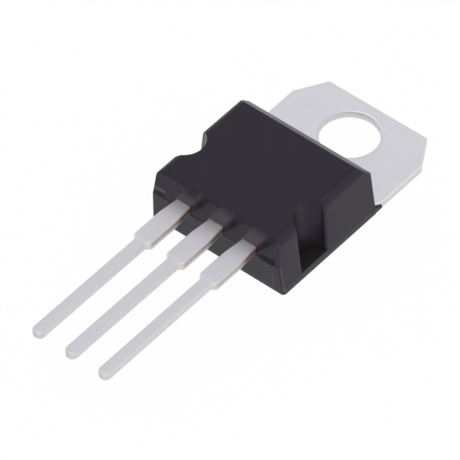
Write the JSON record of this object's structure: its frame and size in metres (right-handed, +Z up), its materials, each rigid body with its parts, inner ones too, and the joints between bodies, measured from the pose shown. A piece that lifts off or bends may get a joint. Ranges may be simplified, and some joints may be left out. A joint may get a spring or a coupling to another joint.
{
  "type": "voltage regulator",
  "caption": "Through-hole voltage regulator: black moulded case on a flat metal tab with a mounting hole, and straight flat leads.",
  "frame": {"origin": "centre of the mounting hole, on the back face of the tab", "axes": "+X across the tab, towards the output lead; +Y along the part, towards the end of the tab; +Z up from the back face, out of the top of the case"},
  "size_m": [0.0102, 0.029, 0.0045],
  "materials": {
    "moulding": "black moulding compound, fine satin",
    "plated_metal": "copper sheet with matt tin plating",
    "silicon": "polished",
    "solder": "satin",
    "bond_wire": "drawn wire, satin"
  },
  "bodies": {
    "root": {"case": "moulding", "tab_frame": "plated_metal", "input_lead": "plated_metal", "output_lead": "plated_metal", "silicon_die": "silicon", "die_solder": "solder", "input_wire": "bond_wire", "output_wire": "bond_wire", "output_sense_wire": "bond_wire", "ground_wire": "bond_wire"}
  },
  "joints": []
}
